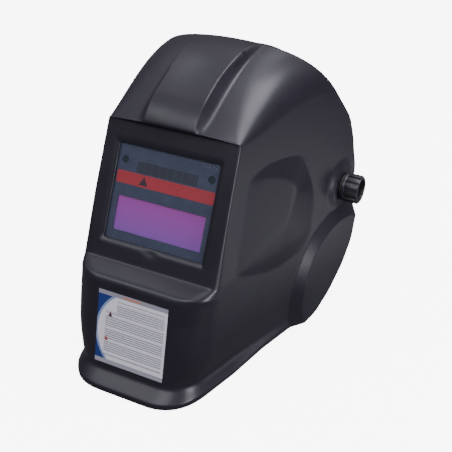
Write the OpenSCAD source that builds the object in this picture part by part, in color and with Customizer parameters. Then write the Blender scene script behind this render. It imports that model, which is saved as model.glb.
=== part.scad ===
// Welding helmet with an auto-darkening filter and a ratchet headgear.
// Millimetres. X is left to right across the face, the helmet faces -Y, Z is up.
// It stands on the rim of its chin lip, and the origin is under the middle of its box.

/* [Shell] */
// Wall thickness of the moulded shell
wall = 2.8; // [2:0.1:3.4]
// Half width of the shell at the bottom corner of the front plate
plate_half_w = 69; // [66:0.5:72]
// Widening of the side walls towards the rear, per mm
flare = 0.222; // [0.2:0.005:0.24]
// Narrowing of the side walls with height above the ledge, per mm
lean = 0.122; // [0.1:0.002:0.14]
// How far the chin lip stands out at its sides
lip_out = 6.5; // [3:0.5:8]
// Height of the raised middle panel of the crown
spine_rise = 9.5; // [4:0.5:11]
// Rise of the round ear lobes
lobe_rise = 7; // [3:0.5:8]

/* [Window] */
// Width of the window opening
win_w = 102; // [98:1:104]
// Height of the window opening
win_h = 87; // [84:1:88]
// Lean of the front plate from the vertical
plate_lean = 24.2; // [22:0.1:26]

/* [Filter] */
// Width of the filter cartridge
cart_w = 110; // [108:1:112]
// Height of the filter cartridge
cart_h = 90; // [89:0.5:92]
// Depth of the filter cartridge
cart_d = 9; // [8.5:0.5:10]
// Width of the viewing glass
view_w = 95; // [88:1:96]
// Height of the viewing glass
view_h = 36; // [30:1:38]

/* [Headgear] */
// Half width of the headband, inside
band_half_w = 80; // [76:1:82]
// Half length of the headband, inside
band_half_l = 96; // [92:1:98]
// Width of the headband strip
band_h = 24; // [18:1:28]
// Backward slope of the headband
band_tilt = 10; // [5:1:14]
// Width of the crown straps
strap_w = 20; // [16:1:20]

/* [Pivots] */
// Distance of the pivot axis behind the middle of the box
pivot_y = 66; // [64:1:68]
// Height of the pivot axis
pivot_z = 125.5; // [122:0.5:128]
// Diameter of the tension knobs
knob_d = 29; // [24:1:32]
// Length of the tension knobs
knob_l = 17.5; // [14:0.5:20]

/* [Hidden] */
$fn = 48;

// The shell is a fan of sections. Each lies in a plane through one line across
// the helmet, behind it at rim height, and is a U that is open to the rear.
fan_y = 216;
side_steps = 16;
fillet_steps = 5;
front_steps = 6;
lobe_at = [51, 32];
lobe_r_top = 64;
lobe_r_foot = 75.5;
plate_foot = [-131.6, 106.2];
plate_top = [-80, 220.8];
ledge_z = 106;
spine_half_w = 27;
crown_drop = 10;
crown_drop_at = 66;
// The free rear edge of the side walls and the crown, seen from the side
rear_edge = [
    [-8, 0], [14, 5], [35, 20], [55, 42], [70, 65], [79, 95], [88, 106], [91, 135],
    [90, 171], [86, 192], [66, 226], [50, 248], [32, 290]
];
rear_polar = [for (p = rear_edge) [atan2(p[1], fan_y - p[0]), norm([fan_y - p[0], p[1]])]];

function clamp01(v) = min(max(v, 0), 1);
function smooth(v) = let (c = clamp01(v)) c * c * (3 - 2 * c);
function bezier(p, t) =
    pow(1 - t, 3) * p[0] + 3 * t * pow(1 - t, 2) * p[1]
    + 3 * t * t * (1 - t) * p[2] + t * t * t * p[3];

function lobe(y, z) =
    lobe_rise * clamp01((lobe_r_foot - norm([y, z] - lobe_at)) / (lobe_r_foot - lobe_r_top));
function lip(y, z) = lip_out * clamp01((16 - z) / 11) * clamp01((-8 - y) / 100);
function tuck(y, z) = 5 * pow(clamp01((50 - z) / 38), 1.5) * clamp01((0 - y) / 60);
function wall_x(y, z) =
    let (back = y - plate_foot[0])
    plate_half_w + flare * back - 0.00013 * pow(max(back - 60, 0), 2)
    - lean * max(z - ledge_z, 0) + 2 * sin(180 * clamp01(z / ledge_z))
    + lobe(y, z) + lip(y, z) - tuck(y, z);
pad_r = 17;
// Half width of the shell at a place on its side wall, flat around the pivot
function side_x(y, z) =
    let (off = smooth((norm([y - pivot_y, z - pivot_z]) - pad_r) / 12))
    wall_x(y, z) * off + wall_x(pivot_y, pivot_z) * (1 - off);

function spine(x, t) =
    spine_rise * (1 - pow(1 - clamp01(t / 0.3), 2)) * (1 - pow(clamp01((t - 0.68) / 0.32), 2))
    * clamp01((spine_half_w + 6 - abs(x)) / 7);

// Stations up the middle of the front, from the rim to the crown's rear edge:
// [y, z, corner reach on the front, corner reach on the side, crowning, share of the crown]
crown_curve = [[-89, 226.5], [-56, 243], [-19, 270], [32, 272]];
chin_foot = [-172, 15];
chin_top = [-152.7, 98];
plate_len = norm(plate_top - plate_foot);
win_low = 0.5 - win_h / plate_len / 2;
plate_shares = [0, win_low, 0.5, 1 - win_low, 1];
stations = concat(
    [[-185, 0, 34, 38, 0, 0], [-185, 5, 34, 38, 0, 0], [-179, 10, 31, 34, 0, 0]],
    [for (k = [0:3]) let (p = chin_foot + (chin_top - chin_foot) * k / 3)
        [p[0], p[1], 27, 29, 0, 0]],
    [[-150.5, 101, 22, 24, 0, 0]],
    [for (k = plate_shares) let (p = plate_foot + (plate_top - plate_foot) * k)
        [p[0], p[1], k == 0 ? 8 : 2, k == 0 ? 8 : 2, 0, 0]],
    [for (k = [0:9]) let (t = k / 9, p = bezier(crown_curve, t))
        [p[0], p[1], 3 + 44 * pow(t, 0.8), 3 + 38 * pow(t, 0.8), crown_drop, t]]
);
win_first = 9;
win_last = 10;

function fan_point(x, r, a) = [x, fan_y - r * cos(a), r * sin(a)];
function side_point(r, a, inset) =
    let (p = fan_point(0, r, a)) [side_x(p[1], p[2]) - inset, p[1], p[2]];
function arc_blend(a, k, b, t) = (1 - t) * (1 - t) * a + 2 * t * (1 - t) * k + t * t * b;

// Columns across the front: the second one is the window's edge on the plate
function front_x(x_in, i) =
    i == 0 ? x_in : (x_in > 60 ? win_w / 2 : 0.76 * x_in) * (front_steps - i) / (front_steps - 1);

// One section of the shell's right half, from the free rear edge to the middle
function half_section(s, inset) =
    let (
        a = atan2(s[1], fan_y - s[0]),
        r = norm([fan_y - s[0], s[1]]) - inset,
        r_end = lookup(a, rear_polar),
        corner_r = r - s[4] * pow(side_point(r, a, inset)[0] / crown_drop_at, 2),
        corner_x = side_point(corner_r, a, inset)[0],
        reach = min(s[3], corner_r - r_end - 2),
        x_in = corner_x - s[2],
        start = side_point(corner_r - reach, a, inset),
        end_r = r - s[4] * pow(x_in / crown_drop_at, 2),
        end = fan_point(x_in, end_r, a),
        apex_r = end_r - 2 * s[4] * x_in / pow(crown_drop_at, 2) * s[2],
        apex = side_point(apex_r, a, inset)
    )
    concat(
        [for (i = [0:side_steps - 1])
            side_point(r_end + (corner_r - reach - r_end) * i / side_steps, a, inset)],
        [for (i = [0:fillet_steps - 1]) arc_blend(start, apex, end, i / fillet_steps)],
        [for (i = [0:front_steps]) let (x = front_x(x_in, i))
            fan_point(x, r - s[4] * pow(x / crown_drop_at, 2) + spine(x, s[5]), a)]
    );
function whole_section(s, inset) =
    let (h = half_section(s, inset), n = len(h))
    concat(h, [for (i = [n - 2:-1:0]) [-h[i][0], h[i][1], h[i][2]]]);

outer = [for (s = stations) whole_section(s, 0)];
inner = [for (s = stations) whole_section(s, wall)];
rows = len(outer);
cols = len(outer[0]);
win_col = side_steps + fillet_steps + 1;

function quad_mid(i, j) =
    (outer[i][j] + outer[i][j + 1] + outer[i + 1][j + 1] + outer[i + 1][j]) / 4;
function in_window(i, j) =
    i >= win_first && i <= win_last && j >= win_col && j < cols - 1 - win_col;
function at_pivot(i, j) =
    let (m = quad_mid(i, j)) norm([m[1] - pivot_y, m[2] - pivot_z]) < 12.5;
function kept(i, j) =
    i >= 0 && j >= 0 && i < rows - 1 && j < cols - 1 && !in_window(i, j) && !at_pivot(i, j);

module shell_skin() {
    half = rows * cols;
    quads = [for (i = [0:rows - 2], j = [0:cols - 2]) if (kept(i, j)) let (k = i * cols + j)
        [i, j, [k, k + 1, k + cols + 1, k + cols]]];
    skin_out = [for (q = quads) each [[q[2][0], q[2][1], q[2][2]], [q[2][0], q[2][2], q[2][3]]]];
    skin_in = [for (f = skin_out) [f[2] + half, f[1] + half, f[0] + half]];
    // The wall's thickness shows wherever a kept patch has no neighbour
    sides = [[-1, 0, 0, 1], [0, 1, 1, 2], [1, 0, 2, 3], [0, -1, 3, 0]];
    walls = [for (q = quads, s = sides) if (!kept(q[0] + s[0], q[1] + s[1]))
        let (a = q[2][s[2]], b = q[2][s[3]]) each [[b, a, a + half], [b, a + half, b + half]]];
    points = concat([for (row = outer) each row], [for (row = inner) each row]);
    polyhedron(points, concat(skin_out, skin_in, walls), convexity = 10);
}

// The plate's own frame: the middle of the window on the plate's face, Z up the plate, Y inwards
plate_mid = (plate_foot + plate_top) / 2;
module on_plate() {
    translate([0, plate_mid[0], plate_mid[1]]) rotate([-plate_lean, 0, 0]) children();
}
// The headgear's frame: the middle of the pivot axis, sloping back with the band
module on_head() {
    translate([0, pivot_y, pivot_z]) rotate([-band_tilt, 0, 0]) children();
}
module scale_x(side) {
    mirror([side < 0 ? 1 : 0, 0, 0]) children();
}
module both_sides() {
    children();
    mirror([1, 0, 0]) children();
}
module box(size, at) {
    translate(at - size / 2) cube(size);
}
module rounded_plate(w, h, d, r) {
    // A plate in XZ with rounded corners, its front face at y = 0
    rotate([90, 0, 0]) translate([0, 0, -d]) linear_extrude(d) {
        square([w - 2 * r, h], center = true);
        square([w, h - 2 * r], center = true);
        for (x = [-1, 1], y = [-1, 1]) translate([x * (w / 2 - r), y * (h / 2 - r)]) circle(r);
    }
}

// Pivot stack, from the head outwards
shell_x = side_x(pivot_y, pivot_z);
bolt_r = 4;
arm_x = band_half_w + 1;
arm_t = 2.5;

module shell() {
    color([0.1, 0.1, 0.11]) shell_skin();
}
module turned(x, r, t) {
    // A disc about the pivot axis on the wearer's left, from x outwards
    translate([x, pivot_y, pivot_z]) rotate([0, 90, 0]) cylinder(r = r, h = t);
}
// The bush in each side wall: a flange inside the wall and a barrel flush with the pad
module pivot_bush(side) {
    color([0.2, 0.2, 0.2]) scale_x(side) difference() {
        union() {
            turned(shell_x - wall - 1.8, 18, 1.6);
            turned(shell_x - wall - 1.8, 6.5, wall + 2.1);
        }
        turned(shell_x - 20, bolt_r + 0.06, 40);
    }
}
module pivot_bush_left() { pivot_bush(1); }
module pivot_bush_right() { pivot_bush(-1); }

label_w = 72;
label_h = 71;
chin_lean = atan((chin_top[0] - chin_foot[0]) / (chin_top[1] - chin_foot[1]));
module chin_label() {
    mid = (chin_foot + chin_top) / 2;
    color("white") translate([0, mid[0], mid[1] - 1]) rotate([-chin_lean, 0, 0])
        translate([0, -0.55, 0]) rounded_plate(label_w, label_h, 0.3, 1);
}

// Depths behind the plate's face
lens_at = wall + 0.2;
lens_t = 1.2;
cart_at = lens_at + lens_t + 0.3;
frame_back = cart_at + cart_d + 1;
frame_w = cart_w + 9;
frame_h = cart_h + 9;
module front_lens() {
    color([0.8, 0.9, 0.95, 0.4]) on_plate() translate([0, lens_at, 0])
        rounded_plate(cart_w, cart_h, lens_t, 2);
}
hinge_z = frame_h / 2 - 2;
hinge_y = frame_back + 3.4;
pin_r = 1.5;
module filter_frame() {
    color([0.12, 0.12, 0.13]) on_plate() difference() {
        union() {
            translate([0, lens_at, 0]) rounded_plate(frame_w, frame_h, frame_back - lens_at, 3);
            for (x = [-1, 1]) box([5, 5.2, 5], [x * 50, frame_back + 2.5, hinge_z]);
        }
        box([cart_w + 0.6, 60, cart_h + 0.6], [0, lens_at + 29, 0]);
        translate([-60, hinge_y, hinge_z]) rotate([0, 90, 0]) cylinder(r = pin_r, h = 120);
    }
}
case_front_d = 3;
view_z = -19.2;
solar_w = 62;
solar_h = 10;
solar_z = 25;
sensor_x = 44;
sensor_z = 29;
module filter_case_front() {
    color([0.3, 0.34, 0.42]) on_plate() translate([0, cart_at, 0]) difference() {
        rounded_plate(cart_w, cart_h, case_front_d, 2);
        box([view_w - 4, 20, view_h - 4], [0, 0, view_z]);
        box([solar_w, 1, solar_h], [0, 0, solar_z]);
        for (x = [-1, 1]) translate([x * sensor_x, -1, sensor_z]) rotate([-90, 0, 0])
            cylinder(r = 3.5, h = 10);
        box([cart_w - 6, 2, cart_h - 6], [0, case_front_d, 0]);
    }
}
back_t = 1.6;
control_x = [-34, 0, 34];
control_z = 24;
module filter_case_back() {
    color([0.15, 0.15, 0.16]) on_plate() translate([0, cart_at + case_front_d, 0]) difference() {
        rounded_plate(cart_w, cart_h, cart_d - case_front_d, 2);
        box([cart_w - 5, 2 * (cart_d - case_front_d - back_t), cart_h - 5], [0, 0, 0]);
        box([view_w - 4, 20, view_h - 4], [0, 0, view_z]);
        for (x = control_x) translate([x, -1, control_z]) rotate([-90, 0, 0])
            cylinder(r = 2.6, h = 20);
    }
}
module solar_cell() {
    color([0.2, 0.2, 0.3]) on_plate() translate([0, cart_at, solar_z])
        box([solar_w, 0.5, solar_h], [0, 0.25, 0]);
}
strip_z = 13.3;
strip_h = 11.3;
module warning_strip() {
    color([0.75, 0.2, 0.2]) on_plate() translate([0, cart_at - 0.15, strip_z])
        rounded_plate(100, strip_h, 0.15, 1.5);
}
glass_at = cart_at + 2.05;
module uv_ir_glass() {
    color([0.6, 0.3, 0.75]) on_plate() translate([0, glass_at, view_z])
        box([view_w, 1.1, view_h], [0, 0.55, 0]);
}
module lc_plates() {
    color([0.5, 0.55, 0.5, 0.6]) on_plate() for (k = [0, 1])
        translate([0, glass_at + 1.2 + 1.2 * k, view_z])
            box([view_w, 1, view_h], [0, 0.5, 0]);
}
board_at = glass_at + 2.6;
module circuit_board() {
    color([0.1, 0.4, 0.2]) on_plate() translate([0, board_at, 22.5]) difference() {
        box([100, 1.2, 38], [0, 0.6, 0]);
        for (x = control_x) translate([x, -1, control_z - 22.5]) rotate([-90, 0, 0])
            cylinder(r = 2.8, h = 5);
    }
}
module battery_cells() {
    color([0.8, 0.8, 0.8]) on_plate() for (x = [-1, 1])
        translate([x * 17, board_at - 2.1, 12]) rotate([-90, 0, 0]) cylinder(r = 6.2, h = 2);
}
module arc_sensors() {
    color([0.05, 0.05, 0.08]) on_plate() for (x = [-1, 1])
        translate([x * sensor_x, cart_at + 1, sensor_z]) rotate([-90, 0, 0])
            cylinder(r = 2.5, h = board_at - cart_at - 1.1);
}
inner_at = cart_at + cart_d + 0.1;
module inner_lens() {
    color([0.8, 0.9, 0.95, 0.4]) on_plate() translate([0, inner_at, view_z])
        rounded_plate(103, 50, 0.8, 1);
}
ret_at = frame_back + 0.3;
ret_t = 2.2;
module retainer_frame() {
    color([0.12, 0.12, 0.13]) on_plate() difference() {
        union() {
            translate([0, ret_at, -2]) rounded_plate(frame_w - 2, frame_h - 10, ret_t, 3);
            translate([-43, hinge_y, hinge_z]) rotate([0, 90, 0]) cylinder(r = 3, h = 86);
            box([86, ret_t, 8], [0, ret_at + ret_t / 2, hinge_z - 6]);
            // Finger tab under the latch
            box([18, ret_t, 7], [0, ret_at + ret_t / 2, -frame_h / 2 - 0.5]);
        }
        box([view_w + 2, 20, view_h + 4], [0, ret_at, view_z]);
        box([84, 20, 22], [0, ret_at, control_z]);
        translate([-60, hinge_y, hinge_z]) rotate([0, 90, 0])
            cylinder(r = pin_r + 0.08, h = 120);
    }
}
module retainer_pin() {
    color("silver") on_plate() translate([-54, hinge_y, hinge_z]) rotate([0, 90, 0])
        cylinder(r = pin_r, h = 108);
}
module control_knob(x, r) {
    shaft_from = board_at + 1.6;
    on_plate() translate([x, 0, control_z]) rotate([-90, 0, 0]) {
        translate([0, 0, shaft_from]) cylinder(r = 2.5, h = inner_at - shaft_from + 0.3);
        difference() {
            translate([0, 0, inner_at + 0.2]) cylinder(r = r, h = 4.5);
            for (a = [0:30:330]) rotate([0, 0, a]) translate([r + 0.4, 0, inner_at])
                cylinder(r = 1.1, h = 6);
        }
        translate([0, 0, inner_at + 4.6]) box([1.4, r * 1.4, 0.8], [0, 0, 0.4]);
    }
}
module shade_knob() { color([0.2, 0.2, 0.2]) control_knob(control_x[1], 8); }
module sensitivity_knob() { color([0.2, 0.2, 0.2]) control_knob(control_x[0], 6.5); }
module delay_knob() { color([0.2, 0.2, 0.2]) control_knob(control_x[2], 6.5); }

// Headband: an oval strip, drawn in the head's frame with its middle behind the pivots
band_t = 1.8;
band_z = 22;
band_y = 2;
rear_gap = 44;
module oval(grow) {
    // Two side arcs and two end arcs make the oval, so every wall is a true cylinder
    w = band_half_w + grow;
    l = band_half_l + grow;
    square([2 * w, 2 * (l - w)], center = true);
    for (y = [-1, 1]) translate([0, y * (l - w)]) circle(w, $fn = 96);
}
module oval_strip(from, t, h) {
    linear_extrude(h) difference() {
        oval(from + t);
        oval(from);
    }
}
slot_l = 24;
module side_arm() {
    difference() {
        union() {
            box([arm_t, 60, 26], [arm_x + arm_t / 2, 0, 1]);
            box([arm_t, 26, 22], [arm_x + arm_t / 2, 0, 20]);
        }
        box([10, slot_l, 8.4], [arm_x + 1, 0, 0]);
    }
}
module front_band() {
    color([0.13, 0.13, 0.14]) on_head() {
        difference() {
            translate([0, band_y, band_z - band_h / 2]) oval_strip(0, band_t, band_h);
            box([400, 200, 200], [0, band_y + 100 + 44, band_z]);
        }
        both_sides() side_arm();
    }
}
module rear_band(side) {
    // The rear quarter of the band steps down to the nape and runs into the ratchet housing
    color([0.13, 0.13, 0.14]) on_head() difference() {
        translate([0, band_y, -band_h / 2 + 14]) oval_strip(band_t + 0.1, 1.6, band_h - 6);
        box([400, 200, 200], [0, band_y - 100 + 30, 0]);
        box([400, 400, 200], [-side * 200 + side * rear_gap, 0, 0]);
    }
}
module rear_band_left() { rear_band(1); }
module rear_band_right() { rear_band(-1); }

module sweatband() {
    color([0.2, 0.2, 0.22]) on_head() difference() {
        translate([0, band_y, band_z - 15]) oval_strip(-6.3, 6, 30);
        box([400, 200, 200], [0, band_y + 100 - 48, band_z]);
    }
}
strap_t = 1.6;
strap_y = 0;
strap_up = 38;
module strap_arch(r, from, to) {
    // A strip that rises from the arm and follows the head to past the middle
    translate([0, strap_y + strap_w / 2, strap_up]) rotate([90, 0, 0])
        rotate([0, 0, from]) rotate_extrude(angle = to - from, $fn = 128)
            translate([r, 0]) square([strap_t, strap_w]);
}
module strap_leg(r) {
    box([strap_t, strap_w, strap_up - 14], [r + strap_t / 2, strap_y, (strap_up + 14) / 2]);
}
strap_out = arm_x + arm_t + 0.1;
module crown_strap_left() {
    color([0.13, 0.13, 0.14]) on_head() difference() {
        union() {
            strap_arch(strap_out, 0, 112);
            strap_leg(strap_out);
        }
        for (a = [78:6:108]) translate([0, strap_y, strap_up]) rotate([0, -a, 0])
            translate([strap_out - 2, 0, 0]) rotate([0, 90, 0]) cylinder(r = 2.4, h = 6);
    }
}
module crown_strap_right() {
    color([0.13, 0.13, 0.14]) on_head() mirror([1, 0, 0]) {
        strap_arch(strap_out + strap_t + 0.2, 14, 104);
        strap_arch(strap_out, 0, 14);
        strap_leg(strap_out);
        translate([0, strap_y, strap_up]) rotate([0, -14, 0])
            box([strap_t * 2 - 0.4, strap_w - 1, 4], [strap_out + strap_t + 0.1, 0, 1]);
        for (a = [84, 96]) translate([0, strap_y, strap_up]) rotate([0, -a, 0])
            translate([strap_out - 1.2, 0, 0]) rotate([0, 90, 0]) cylinder(r = 2.2, h = 4);
    }
}

// Ratchet at the nape: two toothed tails cross over and under one pinion
rat_y = 94;
rat_z = 11;
pinion_r = 6;
teeth = 8;
pitch = 2 * PI * pinion_r / teeth;
rack_t = 2;
rack_half = 11;
rack_len = 74;
rack_slot = 46;
tooth_root = pinion_r + 2.2;
tooth_tip = pinion_r - 1.3;
module at_nape(y) {
    on_head() translate([0, rat_y + y, rat_z]) rotate([-90, 0, 0]) children();
}
module rack_outline() {
    // Teeth hang from the upper edge of the slot, with a gap over the pinion's top tooth
    difference() {
        translate([-26, -rack_half]) square([rack_len, 2 * rack_half]);
        translate([-rack_slot / 2, -tooth_root]) square([rack_slot, 2 * tooth_root]);
    }
    for (k = [-5:4]) translate([(k + 0.5) * pitch, 0])
        polygon([[-1.2, tooth_root + 0.1], [-0.5, tooth_tip], [0.5, tooth_tip],
            [1.2, tooth_root + 0.1]]);
}
module rack(side, y) {
    color([0.16, 0.16, 0.17]) at_nape(y) linear_extrude(rack_t) rotate([0, 0, side > 0 ? 0 : 180])
        rack_outline();
}
module rack_left() { rack(1, -3.2); }
module rack_right() { rack(-1, -1); }
module ratchet_pinion() {
    color([0.7, 0.7, 0.7]) at_nape(-3.2) linear_extrude(4.4) difference() {
        union() {
            circle(4.5);
            for (k = [0:teeth - 1]) rotate([0, 0, k * 360 / teeth])
                polygon([[4.2, -1.1], [7.3, -0.5], [7.3, 0.5], [4.2, 1.1]]);
        }
        circle(3.02);
    }
}
house_w = 104;
house_h = 30;
module ratchet_housing() {
    // A shallow tray, open behind and at both ends, with a lug at each end for the band
    color([0.13, 0.13, 0.14]) on_head() {
        difference() {
            box([house_w, 8, house_h], [0, rat_y - 1.3, rat_z]);
            box([house_w + 2, 8, 2 * rack_half + 1], [0, rat_y + 0.6, rat_z]);
        }
        for (x = [-1, 1]) box([8, 6, 14], [x * 48, rat_y - 8, rat_z]);
    }
}
module ratchet_cover() {
    color([0.13, 0.13, 0.14]) at_nape(2.7) difference() {
        union() {
            linear_extrude(1.8) {
                square([house_w - 12, house_h], center = true);
                square([house_w, house_h - 12], center = true);
                for (x = [-1, 1], z = [-1, 1])
                    translate([x * (house_w / 2 - 6), z * (house_h / 2 - 6)]) circle(6);
            }
            cylinder(r = 9, h = 3);
        }
        translate([0, 0, -1]) cylinder(r = 3.08, h = 8);
    }
}
rknob_r = 20;
rknob_l = 15;
module ratchet_knob() {
    color([0.12, 0.12, 0.13]) at_nape(0) {
        translate([0, 0, -3.2]) cylinder(r = 3, h = 9.8);
        difference() {
            translate([0, 0, 6.2]) cylinder(r = rknob_r, h = rknob_l);
            translate([0, 0, 6.2 + 3]) cylinder(r = rknob_r - 4, h = rknob_l);
            for (a = [0:20:340]) rotate([0, 0, a]) translate([rknob_r + 1, 0, 5])
                cylinder(r = 2.4, h = rknob_l + 5);
        }
        box([2 * rknob_r - 6, 4, rknob_l - 3], [0, 0, 6.2 + 2 + (rknob_l - 3) / 2]);
    }
}
module nape_pad() {
    color([0.2, 0.2, 0.22]) on_head() translate([0, rat_y - 12.5, rat_z])
        rounded_plate(86, 32, 6.5, 8);
}

// Pivot stack on each side, along X from the head outwards
neck = 8;
bush_from = arm_x + arm_t + 0.3;
bush_to = shell_x - wall - 3.8;
knob_from = shell_x + 1.9;
module slider_plate(side) {
    color([0.5, 0.5, 0.52]) scale_x(side) difference() {
        on_head() {
            box([2.2, 20, 18], [arm_x - 1.3, 0, 0]);
            box([arm_t + 0.4, neck, neck], [arm_x + arm_t / 2, 0, 0]);
        }
        turned(arm_x - 10, bolt_r + 0.06, 30);
    }
}
module slider_plate_left() { slider_plate(1); }
module slider_plate_right() { slider_plate(-1); }
module pivot_bolt(side) {
    color("silver") scale_x(side) {
        turned(arm_x - 4.6, 7.5, 2);
        turned(arm_x - 3, bolt_r, knob_from + 12 - arm_x + 3);
    }
}
module pivot_bolt_left() { pivot_bolt(1); }
module pivot_bolt_right() { pivot_bolt(-1); }
module spacer_bush(side) {
    color([0.15, 0.15, 0.15]) scale_x(side) difference() {
        union() {
            turned(bush_from, 8.5, 2);
            turned(bush_from, 7, bush_to - bush_from);
        }
        turned(bush_from - 5, bolt_r + 0.06, 60);
    }
}
module spacer_bush_left() { spacer_bush(1); }
module spacer_bush_right() { spacer_bush(-1); }
module friction_washer(side) {
    // One washer inside the side wall and one under the knob
    color([0.3, 0.3, 0.3]) scale_x(side) difference() {
        union() {
            turned(bush_to + 0.15, 14, 1.6);
            turned(shell_x + 0.5, 12.5, 1.2);
        }
        turned(bush_from - 5, bolt_r + 0.06, 60);
    }
}
module friction_washer_left() { friction_washer(1); }
module friction_washer_right() { friction_washer(-1); }
module tension_knob(side) {
    r = knob_d / 2;
    flutes = 12;
    color([0.1, 0.1, 0.11]) scale_x(side) difference() {
        union() {
            turned(knob_from, r, 4);
            turned(knob_from + 3.9, r - 1.6, knob_l - 3.9);
            for (a = [0:flutes - 1]) translate([knob_from + 3.9, pivot_y, pivot_z])
                rotate([a * 360 / flutes, 0, 0])
                    box([knob_l - 4.2, 3.6, 3], [(knob_l - 4.2) / 2, 0, r - 1.7]);
        }
        turned(knob_from + 10.5, r - 4, knob_l);
        turned(knob_from - 1, 6.04, knob_l + 5);
    }
}
module tension_knob_left() { tension_knob(1); }
module tension_knob_right() { tension_knob(-1); }
module knob_insert(side) {
    color([0.75, 0.6, 0.3]) scale_x(side) difference() {
        turned(knob_from + 0.1, 6, 12.5);
        turned(knob_from - 1, bolt_r + 0.05, 20);
    }
}
module knob_insert_left() { knob_insert(1); }
module knob_insert_right() { knob_insert(-1); }

shell();
chin_label();
front_lens();
filter_frame();
filter_case_front();
filter_case_back();
solar_cell();
warning_strip();
uv_ir_glass();
lc_plates();
circuit_board();
battery_cells();
arc_sensors();
inner_lens();
retainer_frame();
retainer_pin();
shade_knob();
sensitivity_knob();
delay_knob();
front_band();
sweatband();
crown_strap_left();
crown_strap_right();
rear_band_left();
rear_band_right();
ratchet_housing();
ratchet_cover();
ratchet_knob();
ratchet_pinion();
rack_left();
rack_right();
nape_pad();
pivot_bush_left();
pivot_bush_right();
slider_plate_left();
slider_plate_right();
pivot_bolt_left();
pivot_bolt_right();
spacer_bush_left();
spacer_bush_right();
friction_washer_left();
friction_washer_right();
tension_knob_left();
tension_knob_right();
knob_insert_left();
knob_insert_right();
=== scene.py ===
import math
import bpy
import bmesh
import numpy as np
from mathutils import Matrix, Vector


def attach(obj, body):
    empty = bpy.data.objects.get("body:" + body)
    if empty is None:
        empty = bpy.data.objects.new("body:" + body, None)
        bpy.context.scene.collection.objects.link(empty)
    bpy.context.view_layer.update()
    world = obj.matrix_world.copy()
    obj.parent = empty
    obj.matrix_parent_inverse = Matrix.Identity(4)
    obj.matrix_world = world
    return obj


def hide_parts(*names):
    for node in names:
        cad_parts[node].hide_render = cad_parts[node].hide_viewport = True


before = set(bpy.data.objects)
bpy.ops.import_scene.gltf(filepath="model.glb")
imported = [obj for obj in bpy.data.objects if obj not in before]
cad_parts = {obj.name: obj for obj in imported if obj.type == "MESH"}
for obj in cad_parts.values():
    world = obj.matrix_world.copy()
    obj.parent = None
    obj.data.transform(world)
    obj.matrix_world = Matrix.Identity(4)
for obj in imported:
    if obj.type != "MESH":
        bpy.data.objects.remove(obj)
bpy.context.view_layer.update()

# ---- Camera ----------------------------------------------------------------
# It looks down on the helmet from the front and the wearer's left.
cam_data = bpy.data.cameras.new("camera")
cam = bpy.data.objects.new("camera", cam_data)
bpy.context.scene.collection.objects.link(cam)
cam_azimuth = math.radians(27.76)
cam_height = math.radians(30.4)
cam_back = Vector((math.sin(cam_azimuth) * math.cos(cam_height),
                   -math.cos(cam_azimuth) * math.cos(cam_height), math.sin(cam_height)))
cam.location = Vector((0, 0.020, 0.0735)) + cam_back * 0.902
cam.rotation_mode = "QUATERNION"
cam.rotation_quaternion = (-cam_back).to_track_quat("-Z", "Y")
cam_data.sensor_width = 36
cam_data.lens = 69.05
cam_data.clip_start = 0.01
bpy.context.scene.camera = cam


# ---- Floor and light ---------------------------------------------------------
# A plain pale floor that stays out of reflections, and soft studio lights set where
# the shell's own satin highlights fall.
floor_mesh = bmesh.new()
bmesh.ops.create_grid(floor_mesh, x_segments=1, y_segments=1, size=6)
floor_data = bpy.data.meshes.new("floor")
floor_mesh.to_mesh(floor_data)
floor_mesh.free()
floor = bpy.data.objects.new("floor", floor_data)
floor.location = (0, 0, -0.0003)
bpy.context.scene.collection.objects.link(floor)
floor_mat = bpy.data.materials.new("floor")
floor_mat.use_nodes = True
floor_finish = floor_mat.node_tree.nodes["Principled BSDF"].inputs
floor_finish["Base Color"].default_value = (0.93, 0.93, 0.93, 1)
floor_finish["Roughness"].default_value = 0.9
floor_finish["Emission Color"].default_value = (1, 1, 1, 1)
floor_finish["Emission Strength"].default_value = 7.0
floor_data.materials.append(floor_mat)
floor.visible_glossy = False
floor.visible_shadow = False
floor.visible_diffuse = False


def softbox(name, direction, distance, size, power, colour=(0.94, 0.93, 1.0)):
    """An area light aimed at the helmet's middle from a direction and a distance."""
    data = bpy.data.lights.new(name, "AREA")
    data.shape = "RECTANGLE"
    data.size, data.size_y = size
    data.energy = power
    data.color = colour
    lamp = bpy.data.objects.new(name, data)
    bpy.context.scene.collection.objects.link(lamp)
    out = Vector(direction).normalized()
    lamp.location = Vector((0, 0, 0.13)) + out * distance
    lamp.rotation_mode = "QUATERNION"
    lamp.rotation_quaternion = out.to_track_quat("Z", "Y")


softbox("overhead", (0.28, 0.20, 0.91), 1.5, (0.66, 0.8), 13)
softbox("overhead_back", (-0.06, 0.56, 0.83), 1.5, (0.24, 1.0), 1.5)
softbox("right", (0.95, -0.27, 0.12), 1.6, (0.4, 0.6), 11)
softbox("front_left", (-0.52, -0.50, 0.68), 1.6, (0.8, 0.42), 3)
softbox("front", (0.05, -0.68, 0.73), 1.6, (0.9, 0.6), 7)
softbox("back_left", (-0.47, 0.24, 0.81), 1.5, (0.3, 0.22), 0.7)
softbox("low_right", (0.80, 0.42, -0.34), 1.0, (0.55, 0.35), 0.6)
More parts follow.
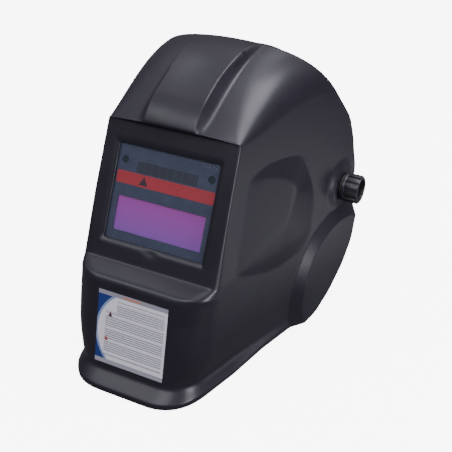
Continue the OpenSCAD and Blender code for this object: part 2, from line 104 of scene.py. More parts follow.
# The air above is brighter than the air around, as under a lit ceiling
world = bpy.data.worlds.new("world")
world.use_nodes = True
world.node_tree.nodes["Background"].inputs["Color"].default_value = (0.90, 0.89, 1.0, 1)
sky_nodes, sky_links = world.node_tree.nodes, world.node_tree.links
sky_place = sky_nodes.new("ShaderNodeTexCoord")
sky_split = sky_nodes.new("ShaderNodeSeparateXYZ")
sky_links.new(sky_place.outputs["Generated"], sky_split.inputs[0])
sky_rise = sky_nodes.new("ShaderNodeMapRange")
sky_rise.inputs["From Min"].default_value = 0.30
sky_rise.inputs["From Max"].default_value = 0.75
sky_rise.inputs["To Min"].default_value = 0.16
sky_rise.inputs["To Max"].default_value = 0.75
sky_links.new(sky_split.outputs[2], sky_rise.inputs["Value"])
sky_links.new(sky_rise.outputs["Result"], sky_nodes["Background"].inputs["Strength"])
bpy.context.scene.world = world


# ---- Shell -------------------------------------------------------------------
# One injection-moulded nylon wall, 2.8 mm thick, satin black, open behind and
# below. It carries the filter and turns on the two side pivots.
SHELL_WALL = 2.8
FAN_Y = 216.0
PLATE_LEAN = math.radians(24.2)
PLATE_FOOT = np.array([-131.6, 106.2])
PLATE_TOP = np.array([-80.0, 220.8])
PLATE_LEN = float(np.linalg.norm(PLATE_TOP - PLATE_FOOT))
WINDOW_HALF = (51.0, 43.5)
BORDER = 3.6
BORDER_DEPTH = 1.8
PIVOT = (66.0, 125.5)
PIVOT_HOLE_R = 8.6
PAD_R = 17.0
PAD_EASE = 12.0
LEDGE_Z = 106.0
HALF_WIDTH = 69.0
FLARE = 0.222
LEAN = 0.122
CROWN_DROP_AT = 66.0
CORNER_X = 57.0


def smooth01(v):
    c = np.clip(v, 0, 1)
    return c * c * (3 - 2 * c)


def curve_through(points, n):
    """Catmull-Rom points through a list of points, n to each span."""
    p = np.array(points, float)
    p = np.vstack([2 * p[0] - p[1], p, 2 * p[-1] - p[-2]])
    out = []
    for k in range(1, len(p) - 2):
        for t in np.linspace(0, 1, n, endpoint=False):
            a, b, c, d = p[k - 1], p[k], p[k + 1], p[k + 2]
            out.append(0.5 * (2 * b + (c - a) * t + (2 * a - 5 * b + 4 * c - d) * t * t
                              + (3 * b - a - 3 * c + d) * t ** 3))
    out.append(p[-2])
    return np.array(out)


def rounded_path(points, n):
    """A polyline whose corners are cut back by each point's last value and curved."""
    p = np.array(points, float)
    out = [p[0][:-1]]
    for k in range(1, len(p) - 1):
        here, cut = p[k][:-1], p[k][-1]
        before, after = p[k - 1][:-1], p[k + 1][:-1]
        if cut <= 0:
            out.append(here)
            continue
        a = here + (before - here) * cut / np.linalg.norm((before - here)[:2])
        b = here + (after - here) * cut / np.linalg.norm((after - here)[:2])
        for t in np.linspace(0, 1, n):
            out.append((1 - t) ** 2 * a + 2 * t * (1 - t) * here + t * t * b)
    out.append(p[-1][:-1])
    return np.array(out)


def distance_to(path, y, z):
    """Distance from places to a polyline."""
    a, b = path[:-1], path[1:]
    q = np.stack([y, z], -1)[..., None, :]
    d = b - a
    t = np.clip(((q - a) * d).sum(-1) / (d * d).sum(-1), 0, 1)
    return np.linalg.norm(q - a - t[..., None] * d, axis=-1).min(-1)


def inside(path, y, z):
    """Whether places lie inside a closed polyline."""
    a, b = path, np.roll(path, -1, 0)
    y, z = y[..., None], z[..., None]
    cross = (a[:, 1] > z) != (b[:, 1] > z)
    with np.errstate(divide="ignore", invalid="ignore"):
        at = a[:, 0] + (z - a[:, 1]) / (b[:, 1] - a[:, 1]) * (b[:, 0] - a[:, 0])
    return (cross & (y < at)).sum(-1) % 2 == 1


LEAF_OUT = curve_through([(-73, 187), (-45, 191), (-16, 187), (3, 177.5), (15, 142), (11, 117),
                          (-0.5, 95), (-26.5, 88), (-64, 91.5), (-105, 107)], 6)
LEAF_IN = curve_through([(-118, 188), (-75, 184), (-54, 182), (-32, 174), (-19.5, 159), (-27, 145.5),
                         (-38, 135), (-61, 125), (-90, 113), (-128, 101)], 6)
LEAF_RISE = 6.5
LEAF_TAPER = 55.0
LOBE_MIDDLE = (51, 32)
LOBE_TOP_R = 64.0
LOBE_FOOT_R = 75.5
LOBE_RISE = 7.0


def soft_step(v, ease):
    """A straight ramp from 0 to 1 whose two ends are eased over a small share of it."""
    v = np.clip(v, -ease, 1 + ease)
    low = np.where(v < ease, (v + ease) ** 2 / (4 * ease), v)
    return np.where(v > 1 - ease, 1 - (1 + ease - v) ** 2 / (4 * ease), low)


def leaf(y, z):
    """The raised cheek panel: it fades forwards and ends in a broad slanted band."""
    out = distance_to(LEAF_OUT, y, z)
    to_in = np.where(inside(LEAF_IN, y, z), 0, distance_to(LEAF_IN, y, z))
    share = soft_step(out / (out + to_in + 1e-6), 0.08)
    tip, along = LEAF_OUT[0], LEAF_OUT[-1] - LEAF_OUT[0]
    behind = (along[0] * (z - tip[1]) - along[1] * (y - tip[0])) / np.hypot(*along)
    return LEAF_RISE * share * inside(LEAF_OUT, y, z) * np.clip(behind / LEAF_TAPER, 0, 1)


def lobe(y, z):
    """The round ear lobe: a plateau inside a slanted band."""
    r = np.hypot(y - LOBE_MIDDLE[0], z - LOBE_MIDDLE[1])
    near_pivot = np.hypot(y - PIVOT[0], z - PIVOT[1])
    band = soft_step((LOBE_FOOT_R - r) / (LOBE_FOOT_R - LOBE_TOP_R), 0.12)
    return LOBE_RISE * band * smooth01((near_pivot - 14.5) / 9)


def side_x(y, z):
    """Half width of the shell at a place on its side wall, flat around the pivot."""
    def wall(y, z):
        back = y - PLATE_FOOT[0]
        lip = 6.5 * np.clip((16 - z) / 11, 0, 1) * np.clip((-8 - y) / 100, 0, 1)
        tuck = 5 * np.clip((50 - z) / 38, 0, 1) ** 1.5 * np.clip(-y / 60, 0, 1)
        bulge = 2 * np.sin(math.pi * np.clip(z / LEDGE_Z, 0, 1))
        return (HALF_WIDTH + FLARE * back - 0.00013 * np.maximum(back - 60, 0) ** 2
                - LEAN * np.maximum(z - LEDGE_Z, 0) + bulge + lip - tuck)
    off = smooth01((np.hypot(y - PIVOT[0], z - PIVOT[1]) - PAD_R) / PAD_EASE)
    at_pivot = wall(np.array([PIVOT[0]]), np.array([PIVOT[1]]))[0]
    return (wall(y, z) + leaf(y, z)) * off + at_pivot * (1 - off) + lobe(y, z)


REAR_EDGE = rounded_path([(-8, 0, 0), (14, 5, 5), (35, 20, 6), (55, 42, 8), (70, 65, 8), (79, 95, 7),
                          (88, 106, 6), (91, 135, 8), (90, 171, 6), (86, 192, 6), (66, 226, 6),
                          (50, 248, 6), (32, 290, 0)], 6)
REAR_ANGLE = np.arctan2(REAR_EDGE[:, 1], FAN_Y - REAR_EDGE[:, 0])
REAR_REACH = np.hypot(FAN_Y - REAR_EDGE[:, 0], REAR_EDGE[:, 1])

CROWN = np.array([(-87.8, 227.3), (-56, 243), (-19, 270), (32, 272)], float)


def crown_point(t):
    """A place on the crown's middle line, from the brow at 0 to the rear edge at 1."""
    w = np.array([(1 - t) ** 3, 3 * t * (1 - t) ** 2, 3 * t * t * (1 - t), t ** 3])
    return w @ CROWN


# The middle of the front up to the brow: y, z, corner reach on the front and on the
# side, crowning, and how far a corner of this line is cut back
front_path = rounded_path([
    (-185, 0, 34, 38, 0), (-185, 5, 34, 38, 1.8), (-172, 15, 27, 29, 2.4),
    (-152.7, 98, 27, 29, 2.4), (-149.5, 101.6, 22, 24, 2.4), (-131.6, 106.2, 8, 8, 2.2),
    (-80, 220.8, 2, 2, 0)], 5)


def filled(path, step):
    """Extra points along a path, so that no span is longer than step."""
    out = [path[0]]
    for a, b in zip(path[:-1], path[1:]):
        n = max(1, int(math.ceil(np.linalg.norm((b - a)[:2]) / step)))
        out += [a + (b - a) * k / n for k in range(1, n + 1)]
    return out


def build_stations():
    """Stations up the middle of the front: y, z, corner reach on the front and on the
    side, crowning, share of the crown, distance up the plate (or -1)."""
    rows = []
    for p in filled(front_path[:-1], 3.0):
        rows.append([*p, 0, 0, -1])
    last = front_path[-2]
    plate_up = np.array([math.sin(PLATE_LEAN), math.cos(PLATE_LEAN)])
    start = float((last[:2] - PLATE_FOOT) @ plate_up)
    half = PLATE_LEN / 2
    low, high = half - WINDOW_HALF[1], half + WINDOW_HALF[1]
    marks = [low - BORDER, low - BORDER / 2, low]
    marks += list(np.linspace(low, high, 22)[1:])
    marks += [high + BORDER / 2, high + BORDER]
    marks = list(np.linspace(start, marks[0], 7)[1:-1]) + marks
    marks += list(np.linspace(marks[-1], PLATE_LEN, 6)[1:])
    for s in marks:
        y, z = PLATE_FOOT + plate_up * s
        t = (s - start) / (PLATE_LEN - start)
        reach = 8 + (2 - 8) * min(1, t * 2.2)
        rows.append([y, z, reach, reach, 0, 0, s])
    first = crown_point(0)
    for t in (0.5, 0.82, 0.94):
        y, z = PLATE_TOP + (first - PLATE_TOP) * t
        rows.append([y, z, 2 + t, 2 + t, 10 * t, 0, -1])
    for k in range(57):
        t = k / 56
        p = crown_point(t) if k else crown_point(0) + (crown_point(0.02) - first) * 0.12
        rows.append([p[0], p[1], 3 + 44 * t ** 0.8, 3 + 38 * t ** 0.8, 10, t, -1])
    return np.array(rows)


SIDE_STEPS = 84
CORNER_STEPS = 12
FRONT_X = [CORNER_X, 55.4, WINDOW_HALF[0] + BORDER, WINDOW_HALF[0] + BORDER / 2, WINDOW_HALF[0], 45.5,
           40, 36.5, 34, 32.4, 30.6, 28.8, 27.4, 26.5, 25.9, 25.4, 24, 20.5, 15.5, 10.5, 5, 0]


def spine(x, t):
    """The raised middle panel of the crown, with a sharp upper edge and a steep side."""
    foot = 33.0 + 0.5 * t
    edge = 25.6 + 5.0 * smooth01((t - 0.45) / 0.55)
    rise = 9.5 * (1 - (1 - min(t / 0.3, 1)) ** 2) * (1 - max(0, (t - 0.68) / 0.32) ** 2)
    ax = np.abs(x)
    side = np.clip((foot - ax) / (foot - edge), 0, 1)
    side = np.where(side < 1, side ** 1.15, 1)
    return rise * side


def section(s, inset):
    """One section of the right half, from the free rear edge to the middle."""
    y0, z0, reach_f, reach_s, crowning, share, up = s
    a = math.atan2(z0, FAN_Y - y0)
    r = math.hypot(FAN_Y - y0, z0) - inset
    ca, sa = math.cos(a), math.sin(a)

    def on_side(radius):
        radius = np.asarray(radius, float)
        y, z = FAN_Y - radius * ca, radius * sa
        return np.stack([side_x(y, z) - inset, y, z], -1)

    def on_front(x, radius):
        return np.array([x, FAN_Y - radius * ca, radius * sa])

    r_end = float(np.interp(a, REAR_ANGLE, REAR_REACH))
    corner_r = r - crowning * (on_side([r])[0, 0] / CROWN_DROP_AT) ** 2
    corner_x = on_side([corner_r])[0, 0]
    reach = min(reach_s, corner_r - r_end - 2)
    x_in = corner_x - reach_f
    start = on_side([corner_r - reach])[0]
    end_r = r - crowning * (x_in / CROWN_DROP_AT) ** 2
    end = on_front(x_in, end_r)
    apex_r = end_r - 2 * crowning * x_in / CROWN_DROP_AT ** 2 * reach_f
    apex = on_side([apex_r])[0]
    # The columns crowd together where the wall bends, so that its creases stay crisp
    radii = np.linspace(r_end, corner_r - reach, 360)
    bend = np.abs(np.gradient(np.gradient(on_side(radii)[:, 0]))) / (radii[1] - radii[0]) ** 2
    bend = np.convolve(np.pad(bend, 6, mode="edge"), np.ones(13) / 13, mode="valid")
    crowd = np.concatenate([[0], np.cumsum(1 + np.minimum(bend * 60, 6))])
    share_at = np.linspace(0, crowd[-2], SIDE_STEPS, endpoint=False)
    pts = list(on_side(np.interp(share_at, crowd[:-1], radii)))
    for t in np.linspace(0, 1, CORNER_STEPS, endpoint=False):
        pts.append((1 - t) ** 2 * start + 2 * t * (1 - t) * apex + t * t * end)
    xs = np.array(FRONT_X, float)
    if x_in < CORNER_X + 0.5:
        keep = 34.0 if x_in > 36 else x_in - 2
        squeezed = keep + (xs - keep) * (x_in - 0.8 - keep) / (CORNER_X - keep)
        xs = np.where(xs > keep, squeezed, xs)
    pts.append(end)
    for x in xs:
        radius = r - crowning * (x / CROWN_DROP_AT) ** 2 + float(spine(x, share))
        p = on_front(x, radius)
        if up >= 0:
            off = max(abs(x) - WINDOW_HALF[0], abs(up - PLATE_LEN / 2) - WINDOW_HALF[1])
            notch = math.hypot(x / 5.5, (up - PLATE_LEN / 2 + WINDOW_HALF[1] + BORDER) / 3.2)
            dent = BORDER_DEPTH * max(1 - min(max(off / BORDER, 0), 1),
                                      float(smooth01(1.6 - 1.3 * notch)))
            p = p + np.array([0, math.cos(PLATE_LEAN), -math.sin(PLATE_LEAN)]) * dent
        pts.append(p)
    return np.array(pts)


def make_object(bm, name, smooth_below=40):
    """A mesh object from a bmesh, smooth except at edges sharper than smooth_below degrees."""
    data = bpy.data.meshes.new(name)
    bm.to_mesh(data)
    bm.free()
    data.polygons.foreach_set("use_smooth", [True] * len(data.polygons))
    data.set_sharp_from_angle(angle=math.radians(smooth_below))
    obj = bpy.data.objects.new(name, data)
    bpy.context.scene.collection.objects.link(obj)
    return obj


def build_shell():
    """Both skins of the shell as one closed wall, open at the window and the pivots."""
    stations = build_stations()
    skins = []
    for inset in (0.0, SHELL_WALL):
        rows = []
        for s in stations:
            right = section(s, inset)
            left = right[-2::-1] * np.array([-1, 1, 1])
            rows.append(np.vstack([right, left]))
        skins.append(np.array(rows) * 0.001)
    n_rows, n_cols = skins[0].shape[:2]
    bm = bmesh.new()
    bmesh.ops.create_grid(bm, x_segments=n_cols - 1, y_segments=n_rows - 1, size=1)
    row_of = bm.verts.layers.int.new("row")
    col_of = bm.verts.layers.int.new("col")
    for v in bm.verts:
        v[row_of] = int(round((v.co.y + 1) / 2 * (n_rows - 1)))
        v[col_of] = int(round((v.co.x + 1) / 2 * (n_cols - 1)))
        v.co = skins[0][v[row_of], v[col_of]]
    half = PLATE_LEN / 2
    window_rows = [k for k, s in enumerate(stations)
                   if s[6] >= 0 and abs(s[6] - half) <= WINDOW_HALF[1] + 0.01]
    first_col = SIDE_STEPS + CORNER_STEPS + 1 + FRONT_X.index(WINDOW_HALF[0])
    gone = []
    for f in bm.faces:
        f_rows = [v[row_of] for v in f.verts]
        f_cols = [v[col_of] for v in f.verts]
        c = f.calc_center_median()
        in_window = (min(f_rows) >= window_rows[0] and max(f_rows) <= window_rows[-1]
                     and min(f_cols) >= first_col and max(f_cols) <= n_cols - 1 - first_col)
        at_pivot = math.hypot(c.y * 1000 - PIVOT[0], c.z * 1000 - PIVOT[1]) < PIVOT_HOLE_R
        if in_window or at_pivot:
            gone.append(f)
    bmesh.ops.delete(bm, geom=gone, context="FACES")
    # Extruding the sheet by the wall's thickness closes it along every free edge
    out = bmesh.ops.extrude_face_region(bm, geom=bm.faces[:], use_keep_orig=True)
    inner = {g for g in out["geom"] if isinstance(g, bmesh.types.BMVert)}
    for v in inner:
        v.co = skins[1][v[row_of], v[col_of]]
    bmesh.ops.recalc_face_normals(bm, faces=bm.faces[:])
    rim = [e for e in bm.edges if len(e.link_faces) == 2
           and (e.verts[0] in inner) == (e.verts[1] in inner)
           and any(len({v in inner for v in f.verts}) == 2 for f in e.link_faces)]
    bmesh.ops.bevel(bm, geom=rim, offset=0.0005, offset_type="OFFSET", segments=2, profile=0.5,
                    affect="EDGES", material=-1)
    return make_object(bm, "shell_wall", 50)


def material(name, colour, rough, metal=0.0, mottle=0.12, mottle_scale=90.0, rough_spread=0.08,
             grain=0.25, grain_scale=1400.0, coat=0.0):
    """A finish with slow changes of colour and gloss, and a fine grain in the surface."""
    mat = bpy.data.materials.new(name)
    mat.use_nodes = True
    nodes, links = mat.node_tree.nodes, mat.node_tree.links
    bsdf = nodes["Principled BSDF"]
    bsdf.inputs["Metallic"].default_value = metal
    bsdf.inputs["Coat Weight"].default_value = coat
    place = nodes.new("ShaderNodeTexCoord")
    slow = nodes.new("ShaderNodeTexNoise")
    slow.inputs["Scale"].default_value = mottle_scale
    slow.inputs["Detail"].default_value = 4.0
    links.new(place.outputs["Object"], slow.inputs["Vector"])
    tint = nodes.new("ShaderNodeValToRGB")
    tint.color_ramp.elements[0].position = 0.3
    tint.color_ramp.elements[1].position = 0.7
    tint.color_ramp.elements[0].color = (*[c * (1 - mottle) for c in colour], 1)
    tint.color_ramp.elements[1].color = (*[min(1, c * (1 + mottle)) for c in colour], 1)
    links.new(slow.outputs["Fac"], tint.inputs["Fac"])
    links.new(tint.outputs["Color"], bsdf.inputs["Base Color"])
    gloss = nodes.new("ShaderNodeMapRange")
    gloss.inputs["From Min"].default_value = 0.3
    gloss.inputs["From Max"].default_value = 0.7
    gloss.inputs["To Min"].default_value = max(0.02, rough - rough_spread)
    gloss.inputs["To Max"].default_value = rough + rough_spread
    links.new(slow.outputs["Fac"], gloss.inputs["Value"])
    links.new(gloss.outputs["Result"], bsdf.inputs["Roughness"])
    fine = nodes.new("ShaderNodeTexNoise")
    fine.inputs["Scale"].default_value = grain_scale
    fine.inputs["Detail"].default_value = 2.0
    links.new(place.outputs["Object"], fine.inputs["Vector"])
    bump = nodes.new("ShaderNodeBump")
    bump.inputs["Strength"].default_value = grain
    bump.inputs["Distance"].default_value = 0.0001
    links.new(fine.outputs["Fac"], bump.inputs["Height"])
    links.new(bump.outputs["Normal"], bsdf.inputs["Normal"])
    return mat


shell = build_shell()
shell.data.materials.append(material("shell_plastic", (0.018, 0.016, 0.024), 0.34, mottle=0.1,
                                     mottle_scale=30, rough_spread=0.03, grain=0.15))
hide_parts("shell")
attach(shell, "shell_assembly")


# ---- Chin label ----------------------------------------------------------------
# A printed card under clear film, stuck to the chin. Its print is rows of grey
# bars, a blue field and two plain marks.
LABEL_SIZE = (0.072, 0.071)
LABEL_MIDDLE = Vector((0, -0.16235, 0.0555))
LABEL_LEAN = math.atan2(172 - 152.7, 98 - 15)
LABEL_THICK = 0.0003
LABEL_LIFT = 0.00055


def chain(nodes, links, op, *values):
    """A math node fed by sockets or numbers; returns its output."""
    n = nodes.new("ShaderNodeMath")
    n.operation = op
    for k, v in enumerate(values):
        if isinstance(v, (int, float)):
            n.inputs[k].default_value = v
        else:
            links.new(v, n.inputs[k])
    return n.outputs[0]


def paint(nodes, links, under, colour, mask):
    """Lays a colour over another where the mask is 1."""
    m = nodes.new("ShaderNodeMix")
    m.data_type = "RGBA"
    links.new(mask, m.inputs[0])
    for socket, v in ((m.inputs[6], under), (m.inputs[7], colour)):
        if isinstance(v, tuple):
            socket.default_value = (*v, 1)
        else:
            links.new(v, socket)
    return m.outputs[2]


def label_print():
    """The card's print, drawn on its own UV map, u across and v up the card."""
    mat = material("label_print", (0.8, 0.8, 0.86), 0.35, mottle=0.02, grain=0.05)
    nodes, links = mat.node_tree.nodes, mat.node_tree.links
    uv = nodes.new("ShaderNodeUVMap")
    uv.uv_map = "print"
    split = nodes.new("ShaderNodeSeparateXYZ")
    links.new(uv.outputs["UV"], split.inputs[0])
    u, v = split.outputs[0], split.outputs[1]

    def m(op, *values):
        return chain(nodes, links, op, *values)

    def between(x, low, high):
        return m("MULTIPLY", m("GREATER_THAN", x, low), m("LESS_THAN", x, high))

    def outside_circle(cu, cv, radius):
        du = m("SUBTRACT", u, cu)
        dv = m("SUBTRACT", v, cv)
        return m("GREATER_THAN", m("ADD", m("MULTIPLY", du, du), m("MULTIPLY", dv, dv)), radius ** 2)

    left = m("LESS_THAN", u, 0.6)
    blue = m("MULTIPLY", outside_circle(0.6, 0.47, 0.585), left)
    arc = m("MULTIPLY", m("SUBTRACT", 1.0, outside_circle(0.6, 0.47, 0.615)), blue)
    noise = nodes.new("ShaderNodeTexNoise")
    noise.inputs["Scale"].default_value = 34
    noise.inputs["Detail"].default_value = 1.0
    stretch = nodes.new("ShaderNodeMapping")
    stretch.inputs["Scale"].default_value = (1.6, 40, 1)
    links.new(uv.outputs["UV"], stretch.inputs["Vector"])
    links.new(stretch.outputs["Vector"], noise.inputs["Vector"])
    row = m("FRACT", m("MULTIPLY", v, 34.0))
    para = m("GREATER_THAN", m("FRACT", m("MULTIPLY", m("ADD", v, 0.035), 5.6)), 0.16)
    words = m("GREATER_THAN", noise.outputs["Fac"], 0.40)
    indent = m("GREATER_THAN", u, m("ADD", 0.12, m("MULTIPLY", 0.16, m("GREATER_THAN", v, 0.74))))
    bars = m("MULTIPLY", m("MULTIPLY", m("LESS_THAN", row, 0.5), para), m("MULTIPLY", words, indent))
    bars = m("MULTIPLY", bars, m("MULTIPLY", between(v, 0.11, 0.9), m("LESS_THAN", u, 0.965)))
    bars = m("MULTIPLY", bars, m("SUBTRACT", 1.0, blue))
    colour = paint(nodes, links, (0.93, 0.92, 0.97), (0.26, 0.26, 0.32), bars)
    colour = paint(nodes, links, colour, (0.022, 0.045, 0.22), blue)
    colour = paint(nodes, links, colour, (0.30, 0.38, 0.62), arc)
    colour = paint(nodes, links, colour, (0.36, 0.36, 0.42), m("GREATER_THAN", v, 0.945))
    colour = paint(nodes, links, colour, (0.62, 0.28, 0.20),
                   m("MULTIPLY", between(v, 0.955, 0.985), between(u, 0.36, 0.62)))
    colour = paint(nodes, links, colour, (0.42, 0.42, 0.48), m("LESS_THAN", v, 0.06))
    for cu, cv, tone in ((0.19, 0.70, (0.10, 0.03, 0.03)), (0.15, 0.36, (0.45, 0.10, 0.07))):
        rise = m("DIVIDE", m("SUBTRACT", v, cv - 0.035), 0.07)
        width = m("MULTIPLY", m("SUBTRACT", 1.0, rise), 0.032)
        mark = m("MULTIPLY", m("LESS_THAN", m("ABSOLUTE", m("SUBTRACT", u, cu)), width),
                 between(rise, 0.0, 1.0))
        colour = paint(nodes, links, colour, tone, mark)
    links.new(colour, nodes["Principled BSDF"].inputs["Base Color"])
    return mat


bm = bmesh.new()
bmesh.ops.create_grid(bm, x_segments=6, y_segments=6, size=0.5)
uv_layer = bm.loops.layers.uv.new("print")
for f in bm.faces:
    for loop in f.loops:
        loop[uv_layer].uv = (loop.vert.co.x + 0.5, loop.vert.co.y + 0.5)
back = bmesh.ops.extrude_face_region(bm, geom=bm.faces[:], use_keep_orig=True)["geom"]
bmesh.ops.translate(bm, vec=(0, 0, -LABEL_THICK),
                    verts=[g for g in back if isinstance(g, bmesh.types.BMVert)])
bmesh.ops.recalc_face_normals(bm, faces=bm.faces[:])
bmesh.ops.scale(bm, vec=(LABEL_SIZE[0], LABEL_SIZE[1], 1), verts=bm.verts[:])
stand = Matrix.Rotation(math.pi / 2 - LABEL_LEAN, 4, "X")
bmesh.ops.transform(bm, matrix=Matrix.Translation(LABEL_MIDDLE) @ stand
                    @ Matrix.Translation((0, 0, LABEL_LIFT)), verts=bm.verts[:])
label = make_object(bm, "chin_label_card")
label.data.materials.append(label_print())
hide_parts("chin_label")
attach(label, "shell_assembly")


# ---- Window ----------------------------------------------------------------------
# A clear polycarbonate cover pane with polished, faintly blue edges, clipped in
# front of the filter cartridge.
def on_plate(x, depth, up):
    """A place given across, behind and up the front plate, in mm from its middle, in metres."""
    mid = (PLATE_FOOT + PLATE_TOP) / 2
    y = mid[0] + depth * math.cos(PLATE_LEAN) + up * math.sin(PLATE_LEAN)
    z = mid[1] - depth * math.sin(PLATE_LEAN) + up * math.cos(PLATE_LEAN)
    return Vector((x, y, z)) * 0.001


def plate_box(name, width, height, depth, at, bevel):
    """A slab parallel to the front plate; at is (x, depth of its front, height up the plate)."""
    bm = bmesh.new()
    bmesh.ops.create_cube(bm, size=1)
    bmesh.ops.scale(bm, vec=(width, depth, height), verts=bm.verts[:])
    bmesh.ops.translate(bm, vec=(0, depth / 2, 0), verts=bm.verts[:])
    bmesh.ops.bevel(bm, geom=bm.edges[:], offset=bevel, offset_type="OFFSET", segments=2,
                    profile=0.5, affect="EDGES", material=-1)
    for v in bm.verts:
        v.co = on_plate(v.co.x + at[0], v.co.y + at[1], v.co.z + at[2])
    return make_object(bm, name)


def clear_pane(name, colour, alpha, edge_alpha):
    """A thin clear sheet: nearly see-through, with more reflection at a slant."""
    mat = material(name, colour, 0.04, mottle=0.03, rough_spread=0.02, grain=0.04)
    nodes, links = mat.node_tree.nodes, mat.node_tree.links
    rim = nodes.new("ShaderNodeLayerWeight")
    rim.inputs["Blend"].default_value = 0.25
    share = nodes.new("ShaderNodeMapRange")
    share.inputs["To Min"].default_value = alpha
    share.inputs["To Max"].default_value = edge_alpha
    links.new(rim.outputs["Fresnel"], share.inputs["Value"])
    links.new(share.outputs["Result"], nodes["Principled BSDF"].inputs["Alpha"])
    return mat


pane = plate_box("cover_pane", 109.6, 89.6, 1.2, (0, 3.0, 0), bevel=0.25)
pane.data.materials.append(clear_pane("cover_pane", (0.30, 0.42, 0.52), 0.035, 0.35))
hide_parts("front_lens")
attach(pane, "shell_assembly")


# ---- Filter cartridge --------------------------------------------------------------
# The auto-darkening cartridge: a blue-grey moulded face with a solar cell, a red
# strip and the purple coated viewing glass. Its CAD solids carry the looks.
def dress(node, mat, bevel=0.3):
    """A CAD node gets its finish, and a small round on its edges."""
    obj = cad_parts[node]
    obj.data.materials.clear()
    obj.data.materials.append(mat)
    if bevel:
        rounding = obj.modifiers.new("edge", "BEVEL")
        rounding.width = bevel * 0.001
        rounding.segments = 2
        rounding.limit_method = "ANGLE"
        rounding.angle_limit = math.radians(35)
        rounding.use_clamp_overlap = True
    return obj


black_plastic = material("black_plastic", (0.022, 0.022, 0.025), 0.42, mottle=0.15)
dress("filter_case_front", material("filter_panel", (0.044, 0.048, 0.088), 0.38, mottle=0.08), 0.2)
dress("filter_case_back", black_plastic, 0.4)
dress("filter_frame", black_plastic, 0.4)



def patterned(mat, pattern):
    """Repaints a finish: pattern(m, x, z, nodes, links) gives the colour, where m is
    maths between sockets, and x and z are a spot's place in metres."""
    nodes, links = mat.node_tree.nodes, mat.node_tree.links
    place = nodes.new("ShaderNodeSeparateXYZ")
    links.new(nodes["Texture Coordinate"].outputs["Object"], place.inputs[0])

    def m(op, *values):
        return chain(nodes, links, op, *values)

    colour = pattern(m, place.outputs[0], place.outputs[2], nodes, links)
    links.new(colour, nodes["Principled BSDF"].inputs["Base Color"])
    return mat


def solar_cells(m, x, z, nodes, links):
    """Fine pale lines between the cells."""
    lines = m("LESS_THAN", m("FRACT", m("MULTIPLY", x, 129.0)), 0.06)
    return paint(nodes, links, (0.034, 0.030, 0.042), (0.060, 0.056, 0.070), lines)


def strip_mark(m, x, z, nodes, links):
    """A plain dark triangle left of the middle."""
    foot = float(on_plate(0, 4.3, 13.3 - 4.0).z)
    up = m("DIVIDE", m("SUBTRACT", z, foot), 0.0075)
    out = m("ABSOLUTE", m("ADD", x, 0.0215))
    mark = m("LESS_THAN", out, m("MULTIPLY", m("SUBTRACT", 1.0, up), 0.0046))
    mark = m("MULTIPLY", mark, m("GREATER_THAN", up, 0.0))
    return paint(nodes, links, nodes["Color Ramp"].outputs["Color"], (0.05, 0.012, 0.012), mark)


def glass_fade(m, x, z, nodes, links):
    """Blue-violet below, turning to magenta above."""
    fade = nodes.new("ShaderNodeMapRange")
    fade.inputs["From Min"].default_value = float(on_plate(0, 6, -35).z)
    fade.inputs["From Max"].default_value = float(on_plate(0, 6, -3).z)
    links.new(z, fade.inputs["Value"])
    return paint(nodes, links, (0.33, 0.095, 0.52), (0.50, 0.068, 0.46), fade.outputs["Result"])


dress("solar_cell", patterned(material("solar_cell", (0.030, 0.030, 0.045), 0.22, mottle=0.1,
                                       rough_spread=0.04, grain=0.05), solar_cells), 0)
dress("arc_sensors", material("sensor_glass", (0.012, 0.012, 0.02), 0.15, rough_spread=0.03), 0.1)

dress("warning_strip", patterned(material("red_strip", (0.48, 0.026, 0.030), 0.30, mottle=0.03,
                                          rough_spread=0.03, grain=0.03), strip_mark), 0)
dress("uv_ir_glass", patterned(material("purple_glass", (0.30, 0.055, 0.38), 0.16, mottle=0.06,
                                        mottle_scale=25, rough_spread=0.05, grain=0.02, coat=0.4),
                               glass_fade), 0.15)
dress("lc_plates", clear_pane("shutter_glass", (0.30, 0.42, 0.34), 0.35, 0.7), 0.1)
dress("inner_lens", clear_pane("inner_pane", (0.4, 0.5, 0.55), 0.12, 0.55), 0.1)
dress("circuit_board", material("circuit_board", (0.015, 0.11, 0.045), 0.4, mottle=0.35,
                                mottle_scale=500), 0.1)
steel = material("zinc_steel", (0.52, 0.52, 0.54), 0.32, metal=1.0, mottle=0.08, grain=0.3,
                 grain_scale=2500)
dress("battery_cells", steel, 0.3)
dress("retainer_pin", steel, 0.2)
dress("retainer_frame", black_plastic, 0.35)
# Black plastic whose colour is a little lighter than the other black plastics: painted highlight standing
# in for the light rim and grips of the knobs
knob_plastic = material("knob_plastic", (0.026, 0.026, 0.030), 0.33, mottle=0.15, grain=0.3)
for node in ("shade_knob", "sensitivity_knob", "delay_knob"):
    dress(node, knob_plastic, 0.25)


# ---- Tension knobs -----------------------------------------------------------------
# Moulded knobs that clamp the shell to the headgear: a collar, twelve raised grips
# and a hollow cup end. Each is screwed to its pivot bolt through a brass insert.
def lathe(profile, steps):
    """A closed solid turned about the X axis from a closed outline of (x, r) in mm."""
    bm = bmesh.new()
    verts = [bm.verts.new((x * 0.001, 0, r * 0.001)) for x, r in profile]
    edges = [bm.edges.new((verts[k], verts[(k + 1) % len(verts)])) for k in range(len(verts))]
    bmesh.ops.spin(bm, geom=verts + edges, cent=(0, 0, 0), axis=(1, 0, 0), dvec=(0, 0, 0),
                   angle=2 * math.pi, steps=steps, use_merge=True)
    bmesh.ops.remove_doubles(bm, verts=bm.verts[:], dist=1e-6)
    bmesh.ops.recalc_face_normals(bm, faces=bm.faces[:])
    return bm


